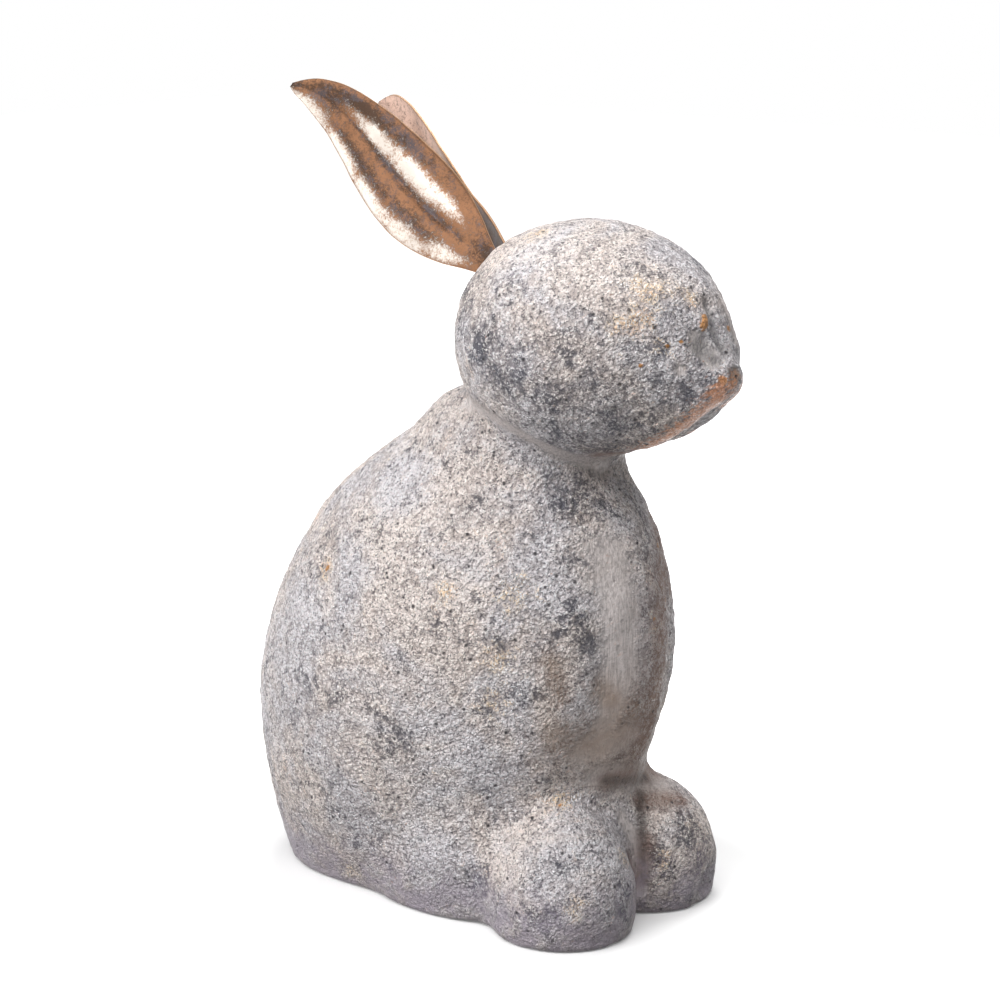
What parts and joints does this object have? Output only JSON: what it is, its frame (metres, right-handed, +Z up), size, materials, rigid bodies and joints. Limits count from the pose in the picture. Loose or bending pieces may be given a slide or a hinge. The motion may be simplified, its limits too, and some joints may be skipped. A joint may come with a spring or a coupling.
{
  "type": "hare sculpture",
  "caption": "Seated garden hare with an egg-shaped body and head, round forepaws and thin leaf-shaped metal ears set in slots; stands on its flat base.",
  "frame": {"origin": "on the ground, on the flat underside below the hare's body, midway between its left and right sides", "axes": "+Z up, the hare faces -Y, its right side is towards -X"},
  "size_m": [0.1849, 0.309, 0.4409],
  "materials": {
    "cast_stone": "matte",
    "ear_metal": "satin"
  },
  "bodies": {
    "root": {"stone_cast": "cast_stone", "right_ear": "ear_metal", "left_ear": "ear_metal"}
  },
  "joints": []
}
